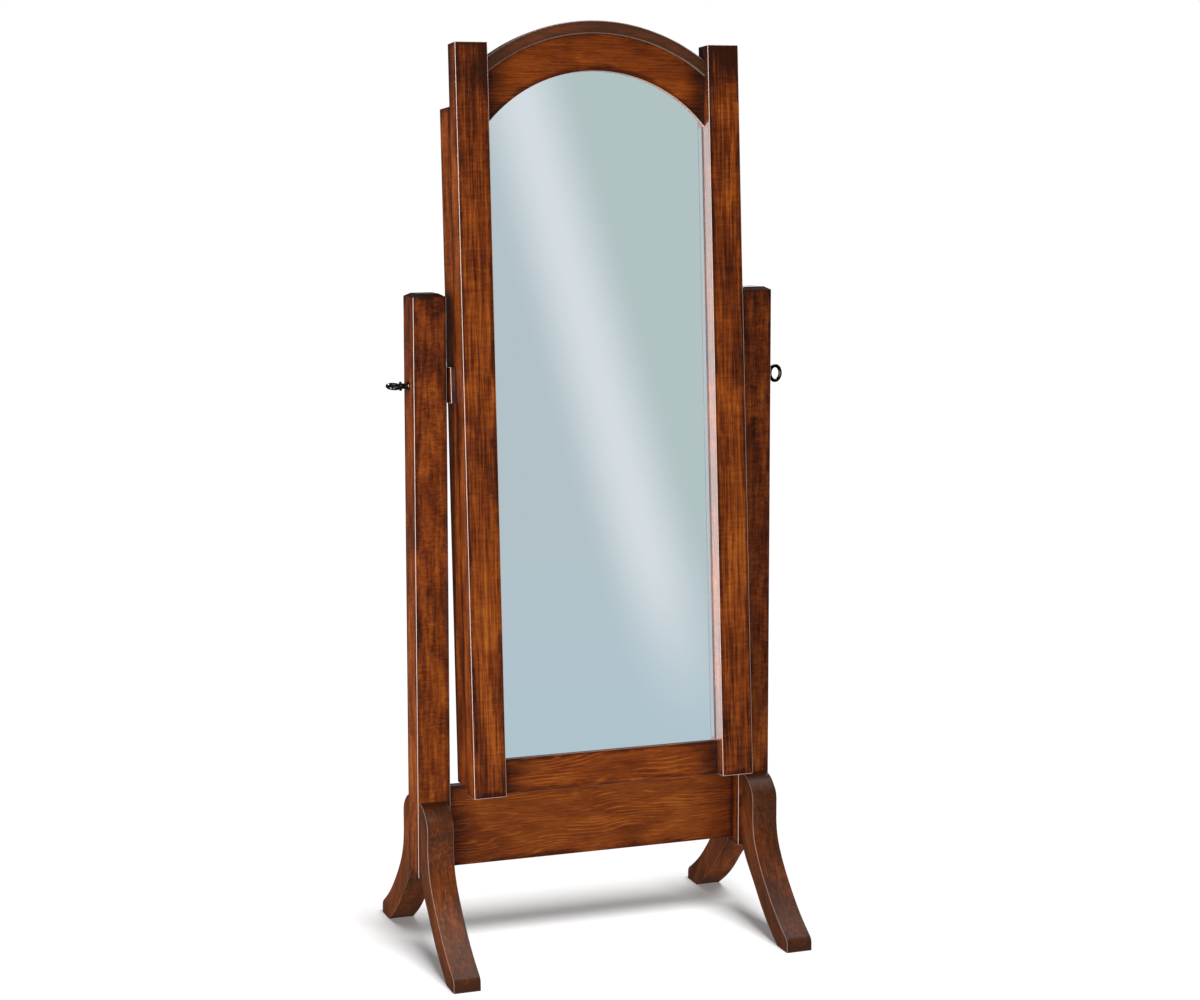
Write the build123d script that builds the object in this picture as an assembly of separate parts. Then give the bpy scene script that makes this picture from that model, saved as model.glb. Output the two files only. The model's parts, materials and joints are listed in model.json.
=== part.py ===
"""Cheval floor mirror: a tilting cabinet with a mirrored door, between two posts on sabre legs.

Millimetres, +Z up, the mirror faces -Y.  The origin is on the floor, in the middle of the stand.
"""
import os
from math import sqrt

from build123d import *

# ---- driving dimensions: the stand -------------------------------------------------------
POST_OUT = 348.5        # centre line to the outer face of a post
POST_WIDE = 62.0
POST_DEEP = 66.0
POST_BOTTOM = 148.0
POST_SHOULDER = 1213.0  # where the bevelled top begins
POST_TOP = 1219.0
POST_BEVEL = 11.0       # how far the bevelled top draws in
ARRIS = 1.5             # rounding of every long wooden edge
CAP_ARRIS = 2.5         # rounding of the cap moulding's front edges

LEG_INSET = 3.5         # leg set in from the post's outer face
LEG_THICK = 50.0
LEG_REACH = 247.0       # centre line to the tip of a toe
LEG_TOP = 288.0
LEG_FRONT = 83.0        # centre line to the upright front of a leg

STRETCHER_THICK = 18.0
STRETCHER_LOW = 157.0
STRETCHER_HIGH = 309.0
TENON_LONG = 20.0
TENON_THICK = 8.0
TENON_SHOULDER = 12.0

STUD_Z = 250.0          # leg fixing: a stud through the post into a barrel nut in each leg
STUD_R = 3.0
NUT_OUT = 52.0          # centre line of the post to the centre line of a barrel nut
NUT_R = 4.0
NUT_DEEP = 26.0
NUT_ROOM = 9.0          # how far the stud's hole runs past the nut's centre line
GLUE_GAP = 0.05         # radial room round every fixed round piece

# ---- driving dimensions: the tilt --------------------------------------------------------
PIVOT_Z = 1052.0
TILT_AT_REST = 3.8      # degrees, top leaning back
SCREW_R = 4.0
SCREW_RUN = 0.05        # radial running clearance round the eye screw
SCREW_IN = 266.0        # centre line to the inner end of the eye screw
BUSHING_R = 6.0
FERRULE_R = 8.2
FERRULE_THICK = 3.0
RING_END = {"left": 391.0, "right": 385.5}   # centre line to the far end of the ring
RING_WIRE_R = 3.4
RING_ALONG = 28.0       # overall, along the screw
RING_ACROSS = 35.0      # overall, across the screw
RING_TURN = {"left": 99.0, "right": 0.0}    # degrees about the screw, from upright
COLLAR_R = 8.6
COLLAR_THICK = 3.0
NECK_R = 5.0
PAD_GAP = 0.3           # play between the friction pad and the post
PAD_R = 14.0

# ---- driving dimensions: the mirrored door, in the tilted frame ---------------------------
# Here y runs from the front (negative) to the back and z up the mirror, both from the pivot.
DOOR_OUT = 271.5
STILE_WIDE = 60.5
DOOR_FRONT = -88.5
DOOR_BACK = -44.5
STILE_TOP = 609.5
DOOR_BOTTOM = -744.5
RAIL_FRONT = -65.0
BOTTOM_RAIL_TALL = 64.0
SIGHT_CENTRE = 290.0    # centre and radius of the arch of the visible glass
SIGHT_R = 272.0
CAP_CENTRE = 296.5      # centre and radii of the cap moulding
CAP_IN_R = 332.5
CAP_OUT_R = 356.0
CAP_FRONT = -72.0
GLASS_FRONT = -59.5
GLASS_THICK = 4.0
BACKING_THICK = 5.0
GLASS_LAP = 8.0         # how far the glass runs behind the wood
GLASS_BEVEL = 18.0
GLASS_BEVEL_DEEP = 0.5
REBATE_ROOM = 0.5
RAIL_TENON = 14.0
RAIL_TENON_Y = (-63.0, -56.0)
TOP_TENON_Z = (478.0, 532.0)

# ---- driving dimensions: the cabinet behind the door, in the tilted frame -----------------
CASE_FRONT = -43.5
CASE_BACK = 18.5
CASE_TOP = 498.0
CASE_BOTTOM = -730.0
CASE_BOARD = 12.0
BACK_THICK = 4.0
BACK_SET_IN = 1.0
LINER_THICK = 1.5
BLOCK_THICK = 10.8      # pivot block on the outside of each cabinet side
BLOCK_TALL = 65.0
INSERT_R = 7.0
INSERT_LONG = 20.0
HOOK_RAIL = (418.0, 448.0)
HOOK_RAIL_OUT = 236.0
HOOK_RAIL_THICK = 12.0
HOOK_COUNT = 5
HOOK_PITCH = 92.0
HOOK_R = 1.6
HOOK_LONG = 22.0
HOOK_TIP = 8.0
TRAY_FLOOR = -330.0
TRAY_BOARD = 8.0
TRAY_LIP = 34.0

# ---- driving dimensions: door fittings, in the tilted frame -------------------------------
HINGE_IN = 6.0          # pin axis in from the door's outer face
HINGE_BACK = 10.0       # pin axis back from the door's front face
HINGE_ARM_R = 5.5
HINGE_PLATE = 3.0
HINGE_LEAF_WIDE = 40.0
HINGE_LEAF_FRONT = -42.0
HINGE_LEAF_BACK = -12.0
HINGE_SLOT_ROOM = 0.4
HINGE_SLOT_SIDE = 1.0
PIN_R = 3.0
PIN_HALF = 13.0
PIN_RUN = 0.05
HINGE_SCREWS = (9.0, 29.0)   # in from the outer face
HINGE_SCREW_R = 2.0
HINGE_SCREW_LONG = 10.0
CATCH = (15.0, 14.0, 40.0)   # wide, deep, tall
CATCH_GAP = 0.2
STRIKE_THICK = 1.0
STRIKE_IN_SIDE = 1.5    # the strike plate is this much smaller than the catch at each edge
STRIKE_IN_END = 4.0

# ---- worked out from them ----------------------------------------------------------------
POST_IN = POST_OUT - POST_WIDE
POST_HALF = POST_DEEP / 2
LEG_OUT = POST_OUT - LEG_INSET
LEG_IN = LEG_OUT - LEG_THICK
NUT_INNER = LEG_IN + 5
SIGHT_HALF = DOOR_OUT - STILE_WIDE
SIGHT_BOTTOM = DOOR_BOTTOM + BOTTOM_RAIL_TALL
BOTTOM_TENON_Z = (DOOR_BOTTOM + 10, SIGHT_BOTTOM - 10)
GLASS_BACK = GLASS_FRONT + GLASS_THICK
REBATE = GLASS_LAP + REBATE_ROOM
CASE_IN = DOOR_OUT - CASE_BOARD
BLOCK_OUT = DOOR_OUT + BLOCK_THICK
BACK_FACE = CASE_BACK - BACK_SET_IN - BACK_THICK
LINER_FACE = BACK_FACE - LINER_THICK
FERRULE_END = POST_OUT + FERRULE_THICK
PIN_X = DOOR_OUT - HINGE_IN
PIN_Y = DOOR_FRONT + HINGE_BACK


def board(x, y, z):
    """A plain board between two values on each axis."""
    size = [high - low for low, high in (x, y, z)]
    middle = [(high + low) / 2 for low, high in (x, y, z)]
    return Pos(*middle) * Box(*size)


def rod_x(radius, low, high, y=0.0, z=0.0):
    """A round rod along X."""
    return Pos((low + high) / 2, y, z) * Rot(0, 90, 0) * Cylinder(radius, high - low)


def rod_y(radius, low, high, x=0.0, z=0.0):
    """A round rod along Y."""
    return Pos(x, (low + high) / 2, z) * Rot(90, 0, 0) * Cylinder(radius, high - low)


def rod_z(radius, low, high, x=0.0, y=0.0):
    """A round rod along Z."""
    return Pos(x, y, (low + high) / 2) * Cylinder(radius, high - low)


def soften(solid, radius=ARRIS, along=None):
    """Round the edges of a board: all of them, or only those along one axis."""
    edges = solid.edges() if along is None else solid.edges().filter_by(along)
    return fillet(edges, radius)


def on_side(solid, side):
    """Parts are drawn on the right; the left one is the mirror image."""
    return solid if side == "right" else mirror(solid, about=Plane.YZ)


def at_end(solid, end):
    """Parts are drawn at the back; the front one is the mirror image."""
    return solid if end == "rear" else mirror(solid, about=Plane.XZ)


def tilted(solid):
    """From the mirror's own frame to the frame of the stand."""
    return Pos(0, 0, PIVOT_Z) * Rot(-TILT_AT_REST, 0, 0) * solid


# ---- the stand ---------------------------------------------------------------------------
def post():
    """Square post with a shallow bevelled top, bored for the tilt, the studs and the stretcher."""
    body = board((POST_IN, POST_OUT), (-POST_HALF, POST_HALF), (POST_BOTTOM, POST_TOP))
    top = body.faces().sort_by(Axis.Z)[-1]
    body = chamfer(top.edges(), POST_BEVEL, POST_TOP - POST_SHOULDER, reference=top)
    body = soften(body, along=Axis.Z)
    body -= rod_x(BUSHING_R + GLUE_GAP, POST_IN, POST_OUT, z=PIVOT_Z)
    body -= rod_y(STUD_R + GLUE_GAP, -POST_HALF, POST_HALF, x=(LEG_IN + LEG_OUT) / 2, z=STUD_Z)
    body -= board((POST_IN, POST_IN + TENON_LONG), (-TENON_THICK / 2, TENON_THICK / 2),
                  (STRETCHER_LOW + TENON_SHOULDER, STRETCHER_HIGH - TENON_SHOULDER))
    return body


def leg():
    """Sabre leg: upright against the post, then sweeping out to a blunt toe."""
    brow, knee = (LEG_FRONT, 242), (LEG_FRONT, 212)
    toe_top, toe = (235, 29), (LEG_REACH, 13)
    sole, heel, foot_of_post = (LEG_REACH, 0), (200, 0), (POST_HALF, POST_BOTTOM)
    outline = [
        Line(foot_of_post, (POST_HALF, LEG_TOP)),
        Spline((POST_HALF, LEG_TOP), (58, 280), (73.5, 267), brow, tangents=[(1, -0.15), (0, -1)]),
        Line(brow, knee),
        Spline(knee, (101, 152), (148, 97), toe_top, tangents=[(0, -1), (1, -0.6)]),
        Spline(toe_top, toe, tangents=[(1, -0.6), (0, -1)]),
        Line(toe, sole),
        Line(sole, heel),
        Spline(heel, (126, 52), (85, 92), foot_of_post, tangents=[(-1, 0.6), (-0.6, 1)]),
    ]
    face = Plane.YZ * make_face(outline)
    body = Pos(LEG_IN, 0, 0) * extrude(face, LEG_THICK, dir=(1, 0, 0))
    sides = body.faces().filter_by(Axis.X).edges()
    at_post = [e for e in sides if e.center().Y < POST_HALF + 0.1]
    body = fillet([e for e in sides if e not in at_post and e.center().Z > 1], ARRIS)
    body -= rod_y(STUD_R + GLUE_GAP, POST_HALF, NUT_OUT + NUT_ROOM, x=(LEG_IN + LEG_OUT) / 2, z=STUD_Z)
    body -= rod_x(NUT_R + GLUE_GAP, LEG_IN, NUT_INNER + NUT_DEEP + 1, y=NUT_OUT, z=STUD_Z)
    return body


def stretcher():
    """Wide board between the posts, tenoned into both."""
    half = STRETCHER_THICK / 2
    body = board((-POST_IN, POST_IN), (-half, half), (STRETCHER_LOW, STRETCHER_HIGH))
    body = soften(body, along=Axis.X)
    reach = POST_IN + TENON_LONG - 0.5
    return body + board((-reach, reach), (-TENON_THICK / 2, TENON_THICK / 2),
                        (STRETCHER_LOW + TENON_SHOULDER, STRETCHER_HIGH - TENON_SHOULDER))


def leg_stud():
    """Threaded stud through the post, into the barrel nuts of the front and rear legs."""
    reach = NUT_OUT + NUT_ROOM - 2
    return rod_y(STUD_R, -reach, reach, x=(LEG_IN + LEG_OUT) / 2, z=STUD_Z)


def barrel_nut():
    """Cross-drilled nut let into the inner side of the rear leg."""
    body = rod_x(NUT_R, LEG_IN + 1, NUT_INNER + NUT_DEEP, y=NUT_OUT, z=STUD_Z)
    return body - rod_y(STUD_R + GLUE_GAP, NUT_OUT - NUT_ROOM, NUT_OUT + NUT_ROOM,
                        x=(LEG_IN + LEG_OUT) / 2, z=STUD_Z)


def pivot_bushing():
    """Brass sleeve that carries the eye screw through the post."""
    return (rod_x(BUSHING_R, POST_IN, POST_OUT, z=PIVOT_Z)
            - rod_x(SCREW_R + SCREW_RUN, POST_IN, POST_OUT, z=PIVOT_Z))


def ferrule():
    """Bright washer between the eye screw and the post."""
    body = rod_x(FERRULE_R, POST_OUT, FERRULE_END, z=PIVOT_Z)
    rim = body.faces().sort_by(Axis.X)[-1].edges()
    return chamfer(rim, 0.8) - rod_x(SCREW_R + SCREW_RUN, POST_OUT, FERRULE_END, z=PIVOT_Z)


def eye_screw(side):
    """Tilt lock: a screw through the post into the pivot block, with an oval ring to turn it."""
    ring_half = RING_ALONG / 2
    centre = RING_END[side] - ring_half
    collar = centre - ring_half - 0.5
    shaft = rod_x(SCREW_R, SCREW_IN, collar)
    neck = rod_x(NECK_R, FERRULE_END + PAD_GAP, collar)
    flange = fillet(rod_x(COLLAR_R, collar, collar + COLLAR_THICK).edges(), 1.0)
    path = Plane.XZ * Ellipse(ring_half - RING_WIRE_R, RING_ACROSS / 2 - RING_WIRE_R).edge()
    wire = Plane(path @ 0, z_dir=path % 0) * Circle(RING_WIRE_R)
    ring = Pos(centre, 0, 0) * sweep(wire, path=path)
    return Pos(0, 0, PIVOT_Z) * Rot(RING_TURN[side], 0, 0) * (shaft + neck + flange + ring)


# ---- the mirrored door, in the tilted frame -----------------------------------------------
def arched_plate(half_width, bottom, radius, y):
    """A flat plate with an arched top, between two values of y."""
    spring = SIGHT_CENTRE + sqrt(radius ** 2 - half_width ** 2)
    outline = [
        Line((-half_width, bottom), (half_width, bottom)),
        Line((half_width, bottom), (half_width, spring)),
        ThreePointArc((half_width, spring), (0, SIGHT_CENTRE + radius), (-half_width, spring)),
        Line((-half_width, spring), (-half_width, bottom)),
    ]
    face = Plane.XZ * make_face(outline)
    return Pos(0, y[0], 0) * extrude(face, y[1] - y[0], dir=(0, 1, 0))


def arc_band(inner, outer, centre_in, centre_out, y):
    """The stretch between two arcs that lies between the stiles."""
    ring = rod_y(outer, *y, z=centre_out) - rod_y(inner, y[0] - 1, y[1] + 1, z=centre_in)
    return ring & board((-SIGHT_HALF, SIGHT_HALF), y, (SIGHT_CENTRE, CAP_CENTRE + outer))


def glass_recess():
    """Room for the glass and its backing behind the stiles and rails."""
    return arched_plate(SIGHT_HALF + REBATE, SIGHT_BOTTOM - REBATE, SIGHT_R + REBATE,
                        (GLASS_FRONT, DOOR_BACK))


def rail_tenons(z):
    """Tenons of a rail, one into each stile."""
    reach = SIGHT_HALF + RAIL_TENON
    return board((-reach, reach), RAIL_TENON_Y, z)


def hinge_slots():
    """Slots and pin holes for the two pivot hinges, in the right stile."""
    room = HINGE_ARM_R + HINGE_SLOT_SIDE
    cut = None
    for low in (CASE_TOP, CASE_BOTTOM - HINGE_PLATE):
        slot = board((PIN_X - room, DOOR_OUT + 1), (PIN_Y - room, DOOR_BACK + 1),
                     (low - HINGE_SLOT_ROOM, low + HINGE_PLATE + HINGE_SLOT_ROOM))
        middle = low + HINGE_PLATE / 2
        hole = rod_z(PIN_R + PIN_RUN, middle - PIN_HALF - 1, middle + PIN_HALF + 1, PIN_X, PIN_Y)
        cut = slot + hole if cut is None else cut + slot + hole
    return cut


def stile(side):
    """Full-length upright of the door; the hinges are let into the right one."""
    body = board((SIGHT_HALF, DOOR_OUT), (DOOR_FRONT, DOOR_BACK), (DOOR_BOTTOM, STILE_TOP))
    front = body.faces().sort_by(Axis.Y)[0].edges()
    body = fillet(front + body.edges().filter_by(Axis.Y), ARRIS)
    body -= glass_recess()
    for z in (TOP_TENON_Z, BOTTOM_TENON_Z):
        body -= board((SIGHT_HALF, SIGHT_HALF + RAIL_TENON), RAIL_TENON_Y, z)
    if side == "right":
        body -= hinge_slots()
    return body


def top_rail():
    """Arched rail over the glass."""
    body = arc_band(SIGHT_R, CAP_IN_R, SIGHT_CENTRE, CAP_CENTRE, (RAIL_FRONT, DOOR_BACK))
    body -= glass_recess()
    tenons = rail_tenons(TOP_TENON_Z) - board((-SIGHT_HALF, SIGHT_HALF), (-90, 0), TOP_TENON_Z)
    return body + tenons


def cap_moulding():
    """Arched moulding that tops the rail and stands proud of it."""
    body = arc_band(CAP_IN_R, CAP_OUT_R, CAP_CENTRE, CAP_CENTRE, (CAP_FRONT, DOOR_BACK))
    front_arcs = body.faces().sort_by(Axis.Y)[0].edges().filter_by(GeomType.CIRCLE)
    return fillet(front_arcs, CAP_ARRIS)


def bottom_rail():
    """Straight rail under the glass."""
    body = board((-SIGHT_HALF, SIGHT_HALF), (RAIL_FRONT, DOOR_BACK), (DOOR_BOTTOM, SIGHT_BOTTOM))
    front = body.faces().sort_by(Axis.Y)[0].edges().filter_by(Axis.X)
    body = fillet(front, ARRIS) - glass_recess()
    tenons = rail_tenons(BOTTOM_TENON_Z) - board((-SIGHT_HALF, SIGHT_HALF), (-90, 0), BOTTOM_TENON_Z)
    return body + tenons


def mirror_glass():
    """Silvered glass with a wide shallow bevel round its front."""
    plate = arched_plate(SIGHT_HALF + GLASS_LAP, SIGHT_BOTTOM - GLASS_LAP, SIGHT_R + GLASS_LAP,
                         (GLASS_FRONT, GLASS_BACK))
    front = plate.faces().sort_by(Axis.Y)[0]
    return chamfer(front.edges(), GLASS_BEVEL, GLASS_BEVEL_DEEP, reference=front)


def mirror_backing():
    """Hardboard behind the glass."""
    return arched_plate(SIGHT_HALF + GLASS_LAP, SIGHT_BOTTOM - GLASS_LAP, SIGHT_R + GLASS_LAP,
                        (GLASS_BACK, GLASS_BACK + BACKING_THICK))


# ---- the cabinet, in the tilted frame -----------------------------------------------------
def case_side():
    """Side board of the cabinet, bored for the threaded insert."""
    body = board((CASE_IN, DOOR_OUT), (CASE_FRONT, CASE_BACK), (CASE_BOTTOM, CASE_TOP))
    back_arris = [e for e in body.edges().filter_by(Axis.Z)
                  if e.center().Y > 0 and e.center().X > DOOR_OUT - 1]
    body = fillet(back_arris, ARRIS)
    return body - rod_x(INSERT_R + GLUE_GAP, CASE_IN, DOOR_OUT)


def case_end(high):
    """Top or bottom board of the cabinet, given its upper face."""
    return board((-CASE_IN, CASE_IN), (CASE_FRONT, CASE_BACK), (high - CASE_BOARD, high))


def case_sheet(front, thick):
    """A sheet that fills the cabinet's inside outline."""
    return board((-CASE_IN, CASE_IN), (front, front + thick),
                 (CASE_BOTTOM + CASE_BOARD, CASE_TOP - CASE_BOARD))


def pivot_block():
    """Wooden block on the cabinet's side that meets the post."""
    half = BLOCK_TALL / 2
    body = board((DOOR_OUT, BLOCK_OUT), (CASE_FRONT, CASE_BACK), (-half, half))
    body = fillet(body.faces().sort_by(Axis.X)[-1].edges(), ARRIS)
    return body - rod_x(INSERT_R + GLUE_GAP, DOOR_OUT, BLOCK_OUT)


def pivot_insert():
    """Threaded sleeve in the block and the cabinet's side; the eye screw turns in it."""
    return (rod_x(INSERT_R, BLOCK_OUT - INSERT_LONG, BLOCK_OUT)
            - rod_x(SCREW_R + SCREW_RUN, BLOCK_OUT - INSERT_LONG, BLOCK_OUT))


def friction_pad():
    """Fibre disc on the block that rubs on the post and holds the tilt."""
    return rod_x(PAD_R, BLOCK_OUT, POST_IN - PAD_GAP) - rod_x(SCREW_R + 0.3, BLOCK_OUT, POST_IN)


def hook_rail():
    """Strip across the inside of the cabinet that carries the hooks."""
    body = board((-HOOK_RAIL_OUT, HOOK_RAIL_OUT), (LINER_FACE - HOOK_RAIL_THICK, LINER_FACE), HOOK_RAIL)
    for index in range(HOOK_COUNT):
        body -= rod_y(HOOK_R + GLUE_GAP, LINER_FACE - HOOK_RAIL_THICK, LINER_FACE - 3,
                      x=hook_x(index), z=sum(HOOK_RAIL) / 2)
    return body


def hook_x(index):
    """Hooks are evenly spaced about the middle."""
    return (index - (HOOK_COUNT - 1) / 2) * HOOK_PITCH


def necklace_hook(index):
    """Small brass hook: a pin in the strip with an upturned tip."""
    z = sum(HOOK_RAIL) / 2
    tip = LINER_FACE - HOOK_RAIL_THICK - HOOK_LONG
    pin = rod_y(HOOK_R, tip, LINER_FACE - 3, x=hook_x(index), z=z)
    corner = Pos(hook_x(index), tip, z) * Sphere(HOOK_R)
    upturn = rod_z(HOOK_R, z, z + HOOK_TIP, x=hook_x(index), y=tip)
    return pin + corner + upturn


def tray_floor():
    """Shelf across the lower part of the cabinet."""
    return board((-CASE_IN, CASE_IN), (CASE_FRONT + 2, LINER_FACE), (TRAY_FLOOR - TRAY_BOARD, TRAY_FLOOR))


def tray_front():
    """Lip that keeps small things on the shelf."""
    return board((-CASE_IN, CASE_IN), (CASE_FRONT + 2, CASE_FRONT + 2 + TRAY_BOARD),
                 (TRAY_FLOOR, TRAY_FLOOR + TRAY_LIP))


# ---- door fittings, in the tilted frame ---------------------------------------------------
def hinge_low(end):
    """Underside of a hinge plate: on the cabinet's top, or just under its bottom."""
    return CASE_TOP if end == "top" else CASE_BOTTOM - HINGE_PLATE


def hinge_plate(end):
    """Steel plate fixed to the cabinet, with an arm that reaches into the stile."""
    low = hinge_low(end)
    z = (low, low + HINGE_PLATE)
    arm = board((PIN_X - HINGE_ARM_R, PIN_X + HINGE_ARM_R), (PIN_Y, HINGE_LEAF_FRONT), z)
    nose = rod_z(HINGE_ARM_R, *z, x=PIN_X, y=PIN_Y)
    leaf = board((DOOR_OUT - HINGE_LEAF_WIDE, PIN_X + HINGE_ARM_R), (HINGE_LEAF_FRONT, HINGE_LEAF_BACK), z)
    plate = arm + nose + leaf - rod_z(PIN_R + 0.02, *z, x=PIN_X, y=PIN_Y)
    for inset in HINGE_SCREWS:
        plate -= rod_z(HINGE_SCREW_R + GLUE_GAP, *z, x=DOOR_OUT - inset, y=hinge_screw_y())
    return plate


def hinge_pin(end):
    """Pin through the arm; the stile turns on both its ends."""
    middle = hinge_low(end) + HINGE_PLATE / 2
    return rod_z(PIN_R, middle - PIN_HALF, middle + PIN_HALF, PIN_X, PIN_Y)


def hinge_screw_y():
    """Both screws of a plate lie on the middle line of its leaf."""
    return (HINGE_LEAF_FRONT + HINGE_LEAF_BACK) / 2


def hinge_screw_at(end):
    """Face of the plate that takes the screw heads, and the way the screws point."""
    return (CASE_TOP + HINGE_PLATE, -1) if end == "top" else (CASE_BOTTOM - HINGE_PLATE, 1)


def hinge_screw(end, inset):
    """Pan-head screw that holds the hinge plate."""
    face, way = hinge_screw_at(end)
    x, y = DOOR_OUT - inset, hinge_screw_y()
    shank = rod_z(HINGE_SCREW_R, *sorted((face, face + way * HINGE_SCREW_LONG)), x=x, y=y)
    head = rod_z(HINGE_SCREW_R * 1.9, *sorted((face, face - way * 2)), x=x, y=y)
    return shank + head


def screw_holes():
    """Room for the hinge screws in the cabinet's boards."""
    cut = None
    for end in ("top", "bottom"):
        face, way = hinge_screw_at(end)
        for inset in HINGE_SCREWS:
            hole = rod_z(HINGE_SCREW_R + GLUE_GAP, *sorted((face, face + way * HINGE_SCREW_LONG)),
                         x=DOOR_OUT - inset, y=hinge_screw_y())
            cut = hole if cut is None else cut + hole
    return cut


def catch_z(end):
    """The catches sit in the upper and lower corners of the free side."""
    tall = CATCH[2]
    if end == "top":
        return (CASE_TOP - CASE_BOARD - tall, CASE_TOP - CASE_BOARD)
    return (CASE_BOTTOM + CASE_BOARD, CASE_BOTTOM + CASE_BOARD + tall)


def magnet_catch(end):
    """Magnetic catch on the inside of the left cabinet side."""
    wide, deep, tall = CATCH
    front = DOOR_BACK + STRIKE_THICK + CATCH_GAP
    return board((-CASE_IN, wide - CASE_IN), (front, front + deep), catch_z(end))


def strike_plate(end):
    """Thin steel plate on the back of the left stile."""
    wide = CATCH[0]
    low, high = catch_z(end)
    return board((STRIKE_IN_SIDE - CASE_IN, wide - STRIKE_IN_SIDE - CASE_IN),
                 (DOOR_BACK, DOOR_BACK + STRIKE_THICK), (low + STRIKE_IN_END, high - STRIKE_IN_END))


# ---- every node --------------------------------------------------------------------------
def stand_parts():
    """Posts, legs, stretcher and their fixings."""
    parts = {"stretcher": stretcher()}
    for side in ("left", "right"):
        parts[f"post_{side}"] = on_side(post(), side)
        parts[f"leg_stud_{side}"] = on_side(leg_stud(), side)
        parts[f"pivot_bushing_{side}"] = on_side(pivot_bushing(), side)
        parts[f"pivot_ferrule_{side}"] = on_side(ferrule(), side)
        parts[f"eye_screw_{side}"] = on_side(eye_screw(side), side)
        for end in ("front", "rear"):
            parts[f"leg_{end}_{side}"] = at_end(on_side(leg(), side), end)
            parts[f"barrel_nut_{end}_{side}"] = at_end(on_side(barrel_nut(), side), end)
    return parts


def door_parts():
    """The mirror in its frame."""
    parts = {
        "top_rail": top_rail(),
        "cap_moulding": cap_moulding(),
        "bottom_rail": bottom_rail(),
        "mirror_glass": mirror_glass(),
        "mirror_backing": mirror_backing(),
    }
    for side in ("left", "right"):
        parts[f"stile_{side}"] = on_side(stile(side), side)
    for end in ("top", "bottom"):
        parts[f"strike_plate_{end}"] = strike_plate(end)
    return parts


def case_parts():
    """The cabinet, its lining and the fittings fixed to it."""
    holes = screw_holes()
    parts = {
        "case_top": case_end(CASE_TOP) - holes,
        "case_bottom": case_end(CASE_BOTTOM + CASE_BOARD) - holes,
        "case_back": case_sheet(BACK_FACE, BACK_THICK),
        "felt_liner": case_sheet(LINER_FACE, LINER_THICK),
        "hook_rail": hook_rail(),
        "tray_floor": tray_floor(),
        "tray_front": tray_front(),
    }
    for side in ("left", "right"):
        parts[f"case_side_{side}"] = on_side(case_side(), side)
        parts[f"pivot_block_{side}"] = on_side(pivot_block(), side)
        parts[f"pivot_insert_{side}"] = on_side(pivot_insert(), side)
        parts[f"friction_pad_{side}"] = on_side(friction_pad(), side)
    parts["case_side_right"] -= holes
    for end in ("top", "bottom"):
        parts[f"hinge_plate_{end}"] = hinge_plate(end)
        parts[f"hinge_pin_{end}"] = hinge_pin(end)
        parts[f"magnet_catch_{end}"] = magnet_catch(end)
        for place, inset in zip(("outer", "inner"), HINGE_SCREWS):
            parts[f"hinge_screw_{end}_{place}"] = hinge_screw(end, inset)
    for index in range(HOOK_COUNT):
        parts[f"necklace_hook_{index + 1}"] = necklace_hook(index)
    return parts


def main():
    """Write one file per part."""
    os.makedirs("parts", exist_ok=True)
    for name, solid in stand_parts().items():
        export_step(solid, f"parts/{name}.step")
    for name, solid in {**door_parts(), **case_parts()}.items():
        export_step(tilted(solid), f"parts/{name}.step")


main()
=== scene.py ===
"""Looks of the cheval floor mirror: stained wood, bevelled glass, blackened iron, a studio."""
import json
import math

import bmesh
import bpy
from mathutils import Matrix, Vector

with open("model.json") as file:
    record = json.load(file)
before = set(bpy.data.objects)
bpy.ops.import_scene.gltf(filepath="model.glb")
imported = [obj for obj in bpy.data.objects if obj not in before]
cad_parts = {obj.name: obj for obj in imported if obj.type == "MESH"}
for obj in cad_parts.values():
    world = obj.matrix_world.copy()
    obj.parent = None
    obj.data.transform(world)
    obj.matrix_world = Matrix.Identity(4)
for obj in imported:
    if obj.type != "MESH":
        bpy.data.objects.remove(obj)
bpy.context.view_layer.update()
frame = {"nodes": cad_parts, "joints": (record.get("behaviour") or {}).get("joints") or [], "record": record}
NODES = frame["nodes"]
JOINTS = {joint["name"]: joint for joint in frame["joints"]}
PIVOT = Vector(JOINTS["mirror_tilt"]["pos_m"])
HINGE_LINE = Vector(JOINTS["door_swing"]["axis"])    # it leans as much as the mirror does
TILT = math.atan2(HINGE_LINE.y, HINGE_LINE.z)
TILTED = {node for body in ("case", "door")
          for node in frame["record"]["behaviour"]["bodies"][body]}
SIDES = ("left", "right")

# ---- directions of grain: each matrix turns the board's long grain onto Z --------------------
UPRIGHT = Matrix.Identity(3)
LYING = Matrix.Rotation(math.radians(-90), 3, "Y")
UNTILT = Matrix.Rotation(TILT, 3, "X")
LEG_SLOPE = math.radians(32)


def to_board(node, grain):
    """Rotation from the object's frame to the board's own, with the grain along Z."""
    return grain @ UNTILT if node in TILTED else grain


def board_box(node, turn):
    """Centre and half size of a node's mesh in its board frame."""
    points = [turn @ v.co for v in NODES[node].data.vertices]
    low = Vector(min(p[i] for p in points) for i in range(3))
    high = Vector(max(p[i] for p in points) for i in range(3))
    return (low + high) / 2, (high - low) / 2


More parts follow.
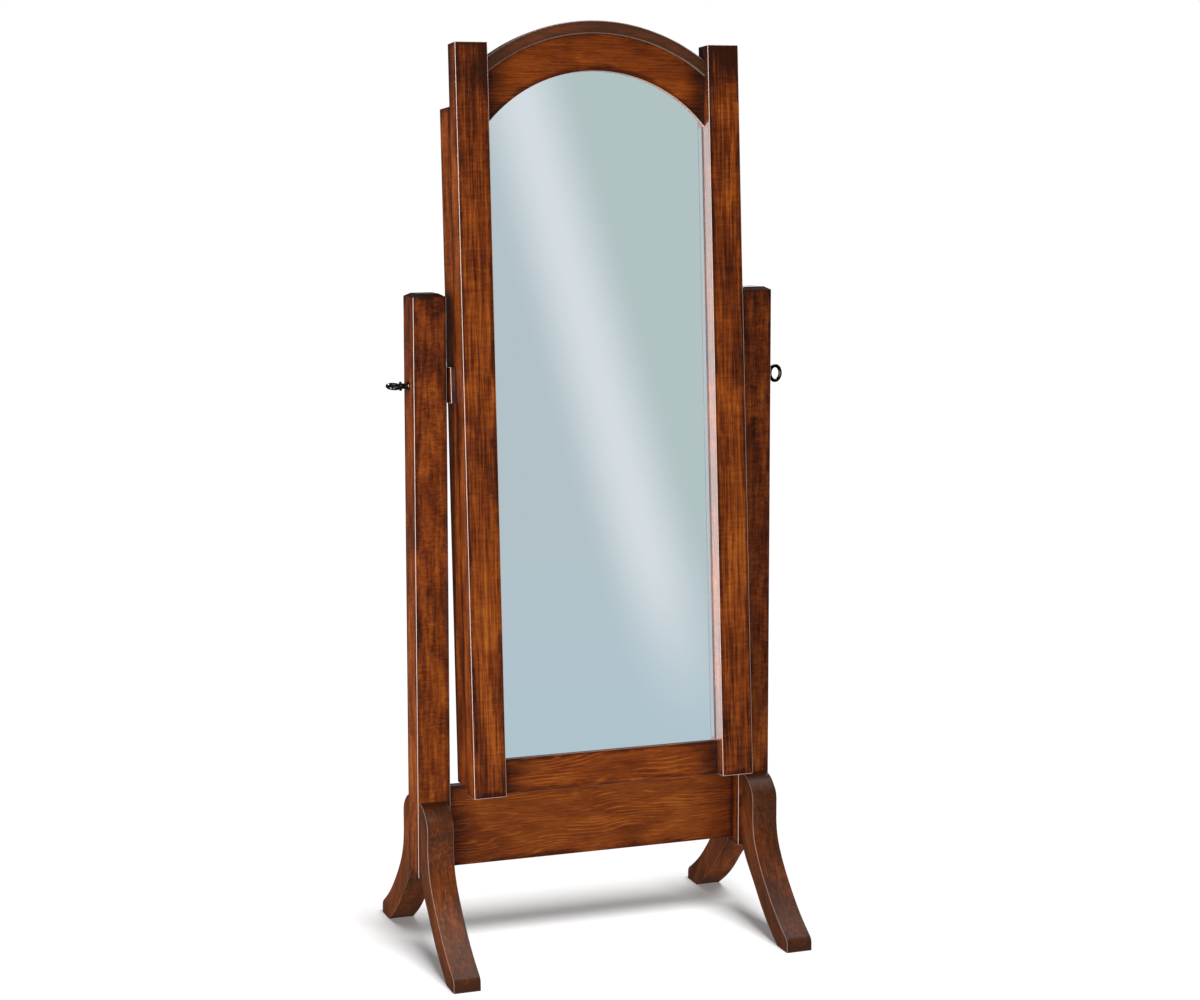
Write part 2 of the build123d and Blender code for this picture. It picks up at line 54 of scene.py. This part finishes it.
# ---- a small kit for building materials ------------------------------------------------------
class Tree:
    """A new material, and short names for the shader nodes that it uses."""

    def __init__(self, name):
        self.material = bpy.data.materials.new(name)
        self.material.use_nodes = True
        self.nodes = self.material.node_tree.nodes
        self.links = self.material.node_tree.links
        self.nodes.clear()

    def add(self, kind, **settings):
        node = self.nodes.new(kind)
        for name, value in settings.items():
            setattr(node, name, value)
        return node

    def feed(self, socket, value):
        """Link a socket, or set its value."""
        if isinstance(value, bpy.types.NodeSocket):
            self.links.new(value, socket)
        elif value is not None:
            socket.default_value = value

    def feed_all(self, node, *values):
        for socket, value in zip(node.inputs, values):
            self.feed(socket, value)

    def coords(self, kind="Object"):
        return self.add("ShaderNodeTexCoord").outputs[kind]

    def math(self, operation, a, b=None, c=None):
        node = self.add("ShaderNodeMath", operation=operation)
        self.feed_all(node, a, b, c)
        return node.outputs[0]

    def vector(self, operation, a, b=None, c=None):
        node = self.add("ShaderNodeVectorMath", operation=operation)
        self.feed_all(node, a, b, c)
        return node.outputs[0]

    def length(self, vector):
        node = self.add("ShaderNodeVectorMath", operation="LENGTH")
        self.feed_all(node, vector)
        return node.outputs["Value"]

    def split(self, vector):
        node = self.add("ShaderNodeSeparateXYZ")
        self.feed_all(node, vector)
        return node.outputs

    def join(self, x, y, z):
        node = self.add("ShaderNodeCombineXYZ")
        self.feed_all(node, x, y, z)
        return node.outputs[0]

    def facing(self, source, target, normal):
        """A normal of one space in another."""
        node = self.add("ShaderNodeVectorTransform", vector_type="NORMAL", convert_from=source,
                        convert_to=target)
        self.feed_all(node, normal)
        return node.outputs[0]

    def turn(self, vector, rotation, offset=(0, 0, 0)):
        """Rotate a vector by a matrix, then move it."""
        node = self.add("ShaderNodeMapping", vector_type="POINT")
        self.feed(node.inputs["Vector"], vector)
        node.inputs["Rotation"].default_value = rotation.to_euler()
        node.inputs["Location"].default_value = offset
        return node.outputs[0]

    def noise(self, vector, scale, detail, roughness=0.5, distortion=0.0):
        node = self.add("ShaderNodeTexNoise")
        self.feed(node.inputs["Vector"], vector)
        node.inputs["Scale"].default_value = scale
        node.inputs["Detail"].default_value = detail
        node.inputs["Roughness"].default_value = roughness
        node.inputs["Distortion"].default_value = distortion
        return node.outputs["Fac"]

    def grain(self, point, fineness, detail, roughness, distortion=0.0):
        """Noise with its own fineness along each of the board's axes."""
        return self.noise(self.vector("MULTIPLY", point, fineness), 1.0, detail, roughness,
                          distortion)

    def vary(self, value, noise, amount):
        """Move a value up and down with a noise, whose middle is 0.5."""
        return self.math("MULTIPLY_ADD", self.math("SUBTRACT", noise, 0.5), amount, value)

    def remap(self, value, from_low, from_high, to_low=0.0, to_high=1.0):
        """A smooth step from one value to another."""
        node = self.add("ShaderNodeMapRange", interpolation_type="SMOOTHSTEP")
        self.feed_all(node, value, from_low, from_high, to_low, to_high)
        return node.outputs[0]

    def mix(self, factor, a, b):
        node = self.add("ShaderNodeMix", data_type="RGBA", clamp_factor=True)
        self.feed(node.inputs["Factor"], factor)
        self.feed(node.inputs["A"], a)
        self.feed(node.inputs["B"], b)
        return node.outputs["Result"]

    def ramp(self, value, stops):
        node = self.add("ShaderNodeValToRGB")
        elements = node.color_ramp.elements
        while len(elements) < len(stops):
            elements.new(0.5)
        for element, (place, colour) in zip(elements, stops):
            element.position = place
            element.color = rgb(*colour)
        self.feed_all(node, value)
        return node.outputs["Color"]

    def bump(self, height, strength, distance):
        node = self.add("ShaderNodeBump")
        node.inputs["Strength"].default_value = strength
        node.inputs["Distance"].default_value = distance
        self.feed(node.inputs["Height"], height)
        return node.outputs["Normal"]

    def output(self, shader):
        """Use a shader for the surface, and give the finished material."""
        output = self.add("ShaderNodeOutputMaterial")
        self.links.new(shader.outputs[0], output.inputs["Surface"])
        return self.material

    def surface(self, **inputs):
        """The same with a Principled shader."""
        shader = self.add("ShaderNodeBsdfPrincipled")
        for name, value in inputs.items():
            self.feed(shader.inputs[name.replace("_", " ")], value)
        return self.output(shader)


def rgb(*colour):
    """A colour socket's value."""
    return (*colour, 1.0)


def cover(material, *nodes):
    """Put one material on several nodes."""
    for node in nodes:
        NODES[node].data.materials.clear()
        NODES[node].data.materials.append(material)


# ---- stained wood ----------------------------------------------------------------------------
DARK = (0.030, 0.0075, 0.0034)
BROWN = (0.100, 0.0190, 0.0036)
RED = (0.205, 0.0430, 0.0050)
ORANGE = (0.420, 0.1180, 0.0130)
STAIN = ((0.12, DARK), (0.36, BROWN), (0.58, RED), (0.95, ORANGE))
GREYED = (0.090, 0.038, 0.017)
# pale arrises: partly wear, partly a painted highlight
WORN_AND_HIGHLIT = (0.80, 0.60, 0.52)

# edges and ends are darker: partly the stain's glaze, partly painted shade in the corners where boards meet
EDGE_DARK, EDGE_WIDTH = 0.24, 0.011    # how much darker the edges are, and how far in
EDGE_WANDER = 0.030                    # how far that shading wanders in and out
END_GRAIN_DARK = 0.30
# the inside of an arch, nearer than this to its inner radius, is painted pale: a painted highlight
SOFFIT = (0.0002, 0.0006)              # how near an arch's inside is to its inner radius

# how far a face points along an axis, where something begins and where it is complete
ARRIS_LEAN = (0.22, 0.42)              # a rounded arris
FACE_LEAN = (0.84, 0.96)               # the flat face past it
BEVEL_LEAN = (0.3, 0.5)                # the bevel round a post's top
END_LEAN = (0.6, 0.85)                 # end grain

# a flat-sawn board's slow field: the noise in it, its rise for each metre across, its contours
FIELD_NOISE, FIELD_RISE, CONTOURS = 0.85, 5.5, 60.0

TENON = 0.014
# centre above the tilt axis, inner radius and outer radius
RAIL_ARCH = (0.290, 0.272, 0.345)
CAP_ARCH = (0.2965, 0.3325, 0.356)


def sample(tree, point, seed, steps=(3.1, 1.7, 0.9)):
    """Move a point, so that each board is cut from another place in the figure."""
    return tree.vector("ADD", point, tuple(seed * step for step in steps))


def streaky(tree, point, seed):
    """Straight uprights: fine long streaks over dark and light patches, and a cross ripple."""
    point = sample(tree, point, seed)
    value = tree.vary(0.5, tree.grain(point, (17, 17, 5.5), 3.0, 0.55, 0.5), 1.15)
    value = tree.vary(value, tree.grain(point, (300, 300, 10), 4.0, 0.62, 0.2), 1.30)
    return tree.vary(value, tree.grain(point, (30, 30, 150), 3.0, 0.6, 0.8), 0.42)


def mottled(tree, point, seed):
    """Posts: blotches and fine cross-flecks, with little grain."""
    point = sample(tree, point, seed)
    value = tree.vary(0.5, tree.grain(point, (24, 24, 11), 4.0, 0.6, 0.8), 0.90)
    value = tree.vary(value, tree.grain(point, (150, 150, 12), 4.0, 0.6, 0.3), 0.85)
    return tree.vary(value, tree.grain(point, (60, 60, 210), 3.0, 0.6, 1.0), 0.60)


def flowing(tree, point, seed, flame=0.26):
    """Flat-sawn boards: fine grain, with pale lines that follow the contours of a slow field."""
    point = sample(tree, point, seed, (2.3, 1.1, 0.7))
    field = tree.grain(point, (9, 9, 1.5), 3.0, 0.5, 0.15)
    rise = tree.math("MULTIPLY", tree.split(point)[0], FIELD_RISE)
    climb = tree.math("MULTIPLY_ADD", field, FIELD_NOISE, rise)
    rings = tree.math("PINGPONG", tree.math("MULTIPLY", climb, CONTOURS), 1.0)
    where = tree.grain(point, (40, 40, 7), 3.0, 0.6, 0.4)
    flames = tree.math("MULTIPLY", tree.remap(rings, 0.50, 1.0), tree.remap(where, 0.43, 0.60))
    value = tree.vary(0.48, tree.grain(point, (22, 22, 7), 4.0, 0.6, 0.6), 0.75)
    value = tree.math("MULTIPLY_ADD", flames, flame, value)
    return tree.vary(value, tree.grain(point, (620, 60, 18), 4.0, 0.65, 0.4), 0.75)


def quiet(tree, point, seed):
    """A flowing figure with hardly any pale lines."""
    return flowing(tree, point, seed, 0.07)


def within_arch(tree, arch):
    """How far a point is outside an arch's inner and inside its outer radius."""
    rise, inner, outer = arch
    centre = UNTILT @ PIVOT + Vector((0, 0, rise))
    radius = tree.length(tree.vector("MULTIPLY", tree.turn(tree.coords(), UNTILT, -centre),
                                     (1, 0, 1)))
    return tree.math("SUBTRACT", radius, inner), tree.math("SUBTRACT", outer, radius)


# the mask for the pale arrises, which are partly wear and partly a painted highlight
def worn_and_highlit_arrises(tree, lean, rounded, bevelled_top):
    """1 on the rounded arrises, where the face turns from one side to the next, else 0."""
    arris = 0.0
    for axis in rounded:
        turned = tree.math("MULTIPLY", tree.remap(lean[axis], *ARRIS_LEAN),
                           tree.remap(lean[axis], *FACE_LEAN, 1.0, 0.0))
        if bevelled_top:
            turned = tree.math("MULTIPLY", turned, tree.remap(lean[2], *BEVEL_LEAN, 1.0, 0.0))
        arris = tree.math("MAXIMUM", turned, arris)
    return arris


def wood(node, grain=UPRIGHT, figure=streaky, seed=1.0, tone=0.0, fade=0.0, dull=0.0, gloss=0.4,
         satin=0.10, hidden=0.0, end_dark=0.14, end_long=0.05, both_ends=True, arch=None,
         soffit=False, rounded=(0,), bevelled_top=False, wear_and_highlight=0.70):
    """Stained wood for one board: figure, darker edges and ends, pale arrises, a clear coat.

    The darker edges and ends are partly the stain's glaze, partly painted shade where boards meet.
    tone lightens the stain, fade paints shade that makes the top darker than the bottom, and dull
    greys it.  gloss and satin are the coat's weight and roughness.  hidden is the length of a tenon.
    end_dark and end_long say how dark the ends are, and how far in.  rounded holds the axes that
    only the faces beside a rounded arris point fully along, and wear_and_highlight is how pale that
    arris is, partly wear and partly a painted highlight.  soffit paints a highlight on the inside of
    an arch too, and bevelled_top leaves a bevelled top's slopes without pale arrises.
    """
    tree = Tree(f"wood_{node}")
    turn = to_board(node, grain)
    centre, half = board_box(node, turn)
    point = tree.turn(tree.coords(), turn, -centre)
    height = tree.split(point)[2]
    lean = tree.split(tree.vector("ABSOLUTE", tree.turn(tree.coords("Normal"), turn)))
    flecks = tree.grain(point, (900, 900, 70), 2.0, 0.7)
    value = tree.vary(figure(tree, point, seed), flecks, 0.34)

    # in from the nearest edge of whichever face the point lies on
    room = tree.split(tree.vector("SUBTRACT", half, tree.vector("ABSOLUTE", point)))
    along = tree.math("SUBTRACT", room[2], hidden)
    if arch:
        inside, outside = within_arch(tree, arch)
        edge = tree.math("MINIMUM", inside, outside)
    else:
        low = tree.math("MINIMUM", room[0], room[1])
        high = tree.math("MAXIMUM", room[0], room[1])
        edge = tree.math("MAXIMUM", low, tree.math("MINIMUM", high, along))
    end = along if both_ends else tree.math("SUBTRACT", half.z, height)
    wander = tree.math("MULTIPLY_ADD", tree.grain(point, (40, 40, 14), 3.0, 0.6), EDGE_WANDER,
                       -EDGE_WANDER / 2)
    # darker edges and ends: partly glaze, partly painted shade where boards meet; end grain is darker with
    # the stain
    for shade in (tree.remap(tree.math("ADD", edge, wander), 0.0, EDGE_WIDTH, EDGE_DARK, 0.0),
                  tree.remap(tree.math("ADD", end, wander), 0.0, end_long, end_dark, 0.0),
                  tree.remap(lean[2], *END_LEAN, 0.0, END_GRAIN_DARK)):
        value = tree.math("SUBTRACT", value, shade)
    # painted shade: fade darkens the top more than the bottom
    value = tree.math("MULTIPLY_ADD", height, -fade, tree.math("ADD", value, tone))
    colour = tree.mix(dull, tree.ramp(value, STAIN), rgb(*GREYED))

    # pale arrises: partly wear, partly a painted highlight
    arris = worn_and_highlit_arrises(tree, lean, rounded, bevelled_top)
    # painted highlight: the inside face of the arch is painted pale
    if soffit:
        arris = tree.math("MAXIMUM", arris, tree.remap(inside, *SOFFIT, 1.0, 0.0))
    colour = tree.mix(tree.math("MULTIPLY", arris, wear_and_highlight), colour, rgb(*WORN_AND_HIGHLIT))
    cover(tree.surface(Base_Color=colour, Roughness=tree.remap(flecks, 0.3, 0.7, 0.36, 0.46),
                       Specular_IOR_Level=0.08, Coat_Weight=gloss, Coat_Roughness=satin,
                       Coat_IOR=1.5, Normal=tree.bump(value, 0.10, 0.0005)), node)


def dress_wood():
    """Give every wooden node its own figure."""
    for index, side in enumerate(SIDES):
        # painted shade: the right post's darker tone, and the posts' darker tops from fade
        wood(f"post_{side}", figure=mottled, seed=1.0 + index * 4.3, tone=-0.02 - 0.06 * index,
             fade=0.14, bevelled_top=True)
        wood(f"stile_{side}", seed=2.4 + index * 5.1, tone=-0.02, gloss=0.32, end_dark=0.28,
             end_long=0.13, both_ends=False, rounded=(0, 2))
        wood(f"case_side_{side}", seed=3.7 + index, tone=-0.04, gloss=0.2)
        wood(f"pivot_block_{side}", seed=4.9 + index, tone=-0.02)
        # painted light: the rear legs' lighter tone stands in for light bounced from the floor
        for end, way, tone, wear_and_highlight in (("front", 1, -0.20, 0.22), ("rear", -1, -0.05, 0.06)):
            wood(f"leg_{end}_{side}", Matrix.Rotation(way * LEG_SLOPE, 3, "X"),
                 seed=6.2 + index * 2 + way, tone=tone, dull=0.35, gloss=0.18, satin=0.30, wear_and_highlight=wear_and_highlight)
    lying = dict(grain=LYING, rounded=(1,))
    # the darker ends of the rails and the stretcher are partly painted shade, where they meet the stiles and
    # posts
    wood("stretcher", figure=flowing, seed=8.6, tone=0.09, hidden=0.020, end_dark=0.22,
         end_long=0.07, wear_and_highlight=0.1, **lying)
    wood("bottom_rail", figure=flowing, seed=9.8, tone=0.05, hidden=TENON, end_dark=0.25, wear_and_highlight=0.1,
         **lying)
    wood("top_rail", figure=quiet, seed=11.9, tone=-0.02, hidden=TENON, end_dark=0.30, wear_and_highlight=0.45,
         arch=RAIL_ARCH, soffit=True, **lying)
    wood("cap_moulding", figure=quiet, seed=12.7, tone=-0.16, dull=0.4, hidden=TENON, wear_and_highlight=0.15,
         satin=0.3, gloss=0.8, arch=CAP_ARCH, **lying)
    for index, node in enumerate(("case_top", "case_bottom", "tray_floor", "tray_front",
                                  "hook_rail")):
        wood(node, figure=flowing, seed=14.0 + index, tone=-0.04, gloss=0.2, wear_and_highlight=0.2, **lying)
    wood("case_back", figure=flowing, seed=21.0, tone=-0.04, gloss=0.15, wear_and_highlight=0.0)


# ---- the other materials ---------------------------------------------------------------------
WEDGE = 4.5                     # how much more than its slope the bevel bends what it reflects
SIDE_BEVEL = (0.022, 0.026)     # the sideways slope of the glass's straight bevels is above this
NOT_FRONT = (0.10, 0.12)        # and a slope above this is that of an edge or the back


def metal(name, colour, roughness, marks_scale):
    """Metal with faint handling marks."""
    tree = Tree(name)
    marks = tree.noise(tree.coords(), marks_scale, 4.0, 0.6)
    worn = [0.7 * part for part in colour]
    return tree.surface(
        Base_Color=tree.mix(tree.remap(marks, 0.35, 0.65), rgb(*worn), rgb(*colour)), Metallic=1.0,
        Roughness=tree.remap(marks, 0.3, 0.7, roughness * 0.75, roughness * 1.35),
        Normal=tree.bump(marks, 0.08, 0.0004))


def mirror_silver():
    """Silvered glass; the back, seen through the bevel, seems to lean in, as through a wedge."""
    tree = Tree("mirror_silver")
    tint = tree.mix(tree.noise(tree.coords(), 6.0, 2.0), rgb(0.915, 0.908, 0.916),
                    rgb(0.925, 0.918, 0.926))
    face = tree.facing("WORLD", "OBJECT", tree.add("ShaderNodeNewGeometry").outputs["Normal"])
    slope = tree.vector("SUBTRACT", (0.0, -math.cos(TILT), math.sin(TILT)), face)
    aside = tree.remap(tree.math("ABSOLUTE", tree.split(slope)[0]), *SIDE_BEVEL, 1.0, 1.0 + WEDGE)
    bend = tree.math("MULTIPLY", aside, tree.remap(tree.length(slope), *NOT_FRONT, 1.0, 0.0))
    seen = tree.vector("MULTIPLY_ADD", slope, tree.join(bend, bend, bend), face)
    return tree.surface(Base_Color=tint, Metallic=1.0, Roughness=0.02,
                        Normal=tree.vector("NORMALIZE", tree.facing("OBJECT", "WORLD", seen)))


def felt():
    """Black flocked felt."""
    tree = Tree("felt")
    nap = tree.noise(tree.coords(), 1400.0, 3.0, 0.7)
    lay = tree.noise(tree.coords(), 18.0, 2.0)
    return tree.surface(
        Base_Color=tree.mix(lay, rgb(0.020, 0.017, 0.019), rgb(0.045, 0.038, 0.041)),
        Roughness=0.95, Specular_IOR_Level=0.2, Sheen_Weight=0.4, Sheen_Roughness=0.5,
        Normal=tree.bump(nap, 0.5, 0.0006))


def plain(name, dark, light, scale, roughness):
    """Small dull pieces: hardboard, fibre, plastic."""
    tree = Tree(name)
    speckle = tree.noise(tree.coords(), scale, 4.0, 0.65)
    return tree.surface(Base_Color=tree.mix(tree.remap(speckle, 0.3, 0.7), rgb(*dark), rgb(*light)),
                        Roughness=roughness, Normal=tree.bump(speckle, 0.15, 0.0004))


def dress_fittings():
    """Metal, glass, felt and the rest, by the starts of the nodes' names."""
    for material, starts in (
            (metal("black_iron", (0.10, 0.10, 0.105), 0.17, 160.0),
             ("eye_screw", "pivot_ferrule")),
            (metal("brass", (0.62, 0.44, 0.17), 0.26, 240.0),
             ("pivot_bushing", "pivot_insert", "necklace_hook")),
            (metal("plated_steel", (0.55, 0.55, 0.53), 0.30, 260.0),
             ("barrel_nut", "leg_stud", "hinge_", "strike_plate")),
            (plain("fibre", (0.05, 0.035, 0.028), (0.12, 0.085, 0.065), 700.0, 0.9),
             ("friction_pad",)),
            (plain("brown_plastic", (0.030, 0.014, 0.009), (0.045, 0.022, 0.014), 300.0, 0.45),
             ("magnet_catch",)),
            (plain("hardboard", (0.11, 0.060, 0.030), (0.19, 0.115, 0.062), 420.0, 0.75),
             ("mirror_backing",)),
            (felt(), ("felt_liner",)),
            (mirror_silver(), ("mirror_glass",))):
        cover(material, *[node for node in NODES if node.startswith(starts)])


# ---- the studio ------------------------------------------------------------------------------
WHITE = (1.0, 1.0, 1.0)
FLOOR_HALF = 40
DOME_R = 39

SCREEN_R = 7.0
SCREEN_SPAN = 110               # degrees to each side of the front
SCREEN_STEPS = 60
SCREEN_HEIGHTS = (-45.0, 9.0)
LOW = (-0.4, 0.7)               # heights between which the low blue gives way
BAND_LEAN = 1.89                # degrees round the screen for each metre up
BAND_PLACE, BAND_HALF = 21.8, 2.3
BAND_FOOT = (-0.5, 0.5)         # heights between which the band starts
GREENER = (19.0, 25.5)          # degrees between which it gets greener
BLUE_GREY = (0.490, 0.590, 0.632)
GREEN_GREY = (0.478, 0.592, 0.590)
LOW_BLUE = (0.470, 0.600, 0.665)
BAND_PALE = (0.715, 0.785, 0.815)

SOFTBOXES = (
    # name, place, watts, width, height, aim
    ("above", (0.9, -0.3, 4.2), 90, 2.6, 2.2, (0, 0, 0.9)),
    ("key", (-1.9, -3.6, 0.95), 82, 1.8, 2.4, (0, 0, 0.7)),
    ("left", (-3.2, -0.9, 1.3), 95, 1.0, 2.6, (0, 0, 0.9)),
    ("back", (1.8, 3.2, 2.4), 60, 1.8, 1.8, (0, 0, 0.9)),
)


def painted(name):
    """Matt white paint."""
    return Tree(name).surface(Base_Color=rgb(0.88, 0.88, 0.88), Roughness=0.9,
                              Specular_IOR_Level=0.0)


def glowing(name, glow):
    """An even light of its own; glow gives its colour."""
    tree = Tree(name)
    emission = tree.add("ShaderNodeEmission")
    tree.feed(emission.inputs["Color"], glow(tree))
    return tree.output(emission)


def staged(name, shape, material, *unseen):
    """A piece of the studio, which some kinds of ray don't see."""
    mesh = bpy.data.meshes.new(name)
    shape.to_mesh(mesh)
    shape.free()
    mesh.materials.append(material)
    piece = bpy.data.objects.new(name, mesh)
    bpy.context.scene.collection.objects.link(piece)
    for kind in unseen:
        setattr(piece, f"visible_{kind}", False)
    return piece


def studio_floor():
    """Plain white floor, which the mirror doesn't show."""
    shape = bmesh.new()
    bmesh.ops.create_grid(shape, x_segments=1, y_segments=1, size=FLOOR_HALF)
    return staged("floor", shape, painted("floor"), "glossy")


def white_surroundings():
    """White all round and far away, for the eye only."""
    shape = bmesh.new()
    bmesh.ops.create_icosphere(shape, subdivisions=4, radius=DOME_R)
    staged("surroundings", shape, glowing("surroundings", lambda tree: rgb(*WHITE)),
           "diffuse", "glossy", "transmission", "volume_scatter", "shadow")


def screen_glow(tree):
    """Pale blue-grey, greener at the right, bluer below, with one soft bright band that leans."""
    x, y, z = tree.split(tree.add("ShaderNodeNewGeometry").outputs["Position"])
    angle = tree.math("DEGREES", tree.math("ARCTAN2", x, tree.math("MULTIPLY", y, -1.0)))
    along = tree.math("MULTIPLY_ADD", z, BAND_LEAN, angle)
    off_band = tree.math("ABSOLUTE", tree.math("SUBTRACT", along, BAND_PLACE))
    band = tree.math("MULTIPLY", tree.remap(off_band, 0.0, BAND_HALF, 1.0, 0.0),
                     tree.remap(z, *BAND_FOOT))
    colour = tree.mix(tree.remap(along, *GREENER), rgb(*BLUE_GREY), rgb(*GREEN_GREY))
    colour = tree.mix(tree.remap(z, *LOW, 1.0, 0.0), colour, rgb(*LOW_BLUE))
    return tree.mix(band, colour, rgb(*BAND_PALE))


def reflected_screen():
    """A curved screen in front, from far below the floor to above the mirror, that only
    reflections show."""
    shape = bmesh.new()
    columns = []
    for step in range(SCREEN_STEPS + 1):
        a = math.radians(-SCREEN_SPAN + step * 2 * SCREEN_SPAN / SCREEN_STEPS)
        foot = (SCREEN_R * math.sin(a), -SCREEN_R * math.cos(a))
        columns.append([shape.verts.new((*foot, z)) for z in SCREEN_HEIGHTS])
    for left, right in zip(columns, columns[1:]):
        shape.faces.new((left[0], right[0], right[1], left[1]))
    return staged("screen", shape, glowing("screen", screen_glow), "camera", "diffuse", "shadow")


def group(name, *pieces):
    """A list of pieces for a light to fall on, or to take its shadows from."""
    members = bpy.data.collections.new(name)
    for piece in pieces:
        members.objects.link(piece)
    return members


def lamp(name, kind, place, aim, power, lit, shading=None, **settings):
    """A lamp that faces a point, lights only some pieces, and may take its shadows from a few."""
    data = bpy.data.lights.new(name, kind)
    data.energy = power
    for key, value in settings.items():
        setattr(data, key, value)
    light = bpy.data.objects.new(name, data)
    light.location = place
    light.rotation_euler = (Vector(aim) - Vector(place)).to_track_quat("-Z", "Y").to_euler()
    light.light_linking.receiver_collection = lit
    light.light_linking.blocker_collection = shading
    bpy.context.scene.collection.objects.link(light)


def lights(floor, screen):
    """Two high lights for the floor, one with the shadow; soft boxes round the mirror."""
    world = bpy.data.worlds.new("studio")
    bpy.context.scene.world = world
    world.use_nodes = True
    fill = world.node_tree.nodes["Background"]
    fill.inputs["Color"].default_value = rgb(*WHITE)
    fill.inputs["Strength"].default_value = 0.06
    screen.light_linking.receiver_collection = group("glass", NODES["mirror_glass"])
    mirror = group("mirror", *NODES.values())
    ground = group("ground", floor)
    low = group("near_floor", *[NODES[node] for node in NODES
                                if node.startswith(("stretcher", "leg_front", "leg_rear"))])
    lamp("high", "SUN", (0.06, -0.62, 1.0), (0, 0, 0), 3.5, ground, low, angle=math.radians(26))
    lamp("soft", "SUN", (0.0, 0.0, 1.0), (0, 0, 0), 0.62, ground, use_shadow=False)
    for name, place, watts, width, height, aim in SOFTBOXES:
        lamp(name, "AREA", place, aim, watts, mirror, shape="RECTANGLE", size=width, size_y=height)


def camera():
    """Left of the front and a little above the middle, looking slightly down."""
    data = bpy.data.cameras.new("camera")
    eye = bpy.data.objects.new("camera", data)
    bpy.context.scene.collection.objects.link(eye)
    bpy.context.scene.camera = eye
    data.sensor_width = 36.0
    data.lens = 72.93
    data.shift_y = -0.064
    eye.location = (-1.4958, -4.2249, 1.4843)
    turn, dip, roll = (math.radians(a) for a in (19.71, 6.54, -0.073))
    eye.rotation_euler = (Matrix.Rotation(-turn, 3, "Z")
                          @ Matrix.Rotation(math.pi / 2 - dip, 3, "X")
                          @ Matrix.Rotation(roll, 3, "Z")).to_euler()


dress_wood()
dress_fittings()
white_surroundings()
lights(studio_floor(), reflected_screen())
camera()
bpy.context.scene.view_settings.view_transform = "Standard"
